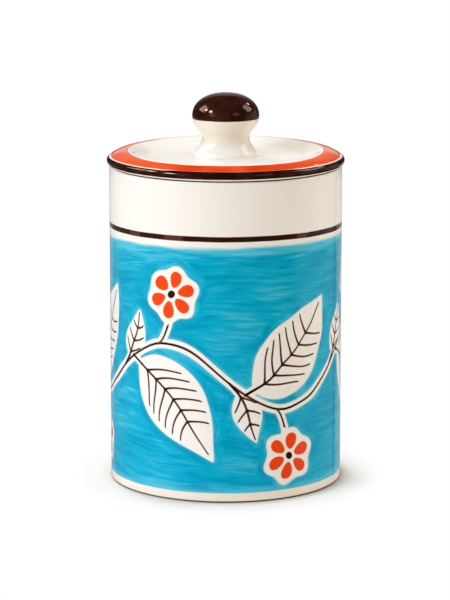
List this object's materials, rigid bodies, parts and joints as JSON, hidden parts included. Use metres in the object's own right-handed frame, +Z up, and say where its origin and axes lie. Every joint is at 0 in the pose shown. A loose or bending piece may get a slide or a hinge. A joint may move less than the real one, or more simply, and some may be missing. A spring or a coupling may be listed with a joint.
{
  "type": "lidded ceramic jar",
  "caption": "Straight-sided glazed ceramic storage jar with a painted band, and a lift-off dished lid with a round knob, a locating ring and a soft seal.",
  "frame": {"origin": "middle of the foot, on the surface that the jar stands on", "axes": "+Z up along the jar's axis, towards the knob; -Y towards the front of the painted band"},
  "size_m": [0.1226, 0.1226, 0.2012],
  "materials": {
    "painted_glaze": "gloss",
    "banded_glaze": "gloss",
    "cream_glaze": "gloss",
    "brown_glaze": "gloss",
    "soft_seal": "matte"
  },
  "bodies": {
    "jar": {"jar_body": "painted_glaze"},
    "seal": {"lid_seal": "soft_seal"},
    "lid": {"lid_dish": "banded_glaze", "lid_locating_ring": "cream_glaze", "lid_knob": "brown_glaze"}
  },
  "joints": [
    {"name": "lid_lift", "type": "slide", "parent": "jar", "child": "seal", "axis": [0, 0, 1], "range_m": [0, 0.12]},
    {"name": "lid_turn", "type": "hinge", "parent": "seal", "child": "lid", "pos_m": [0, 0, 0.1644], "axis": [0, 0, 1], "continuous": true}
  ]
}
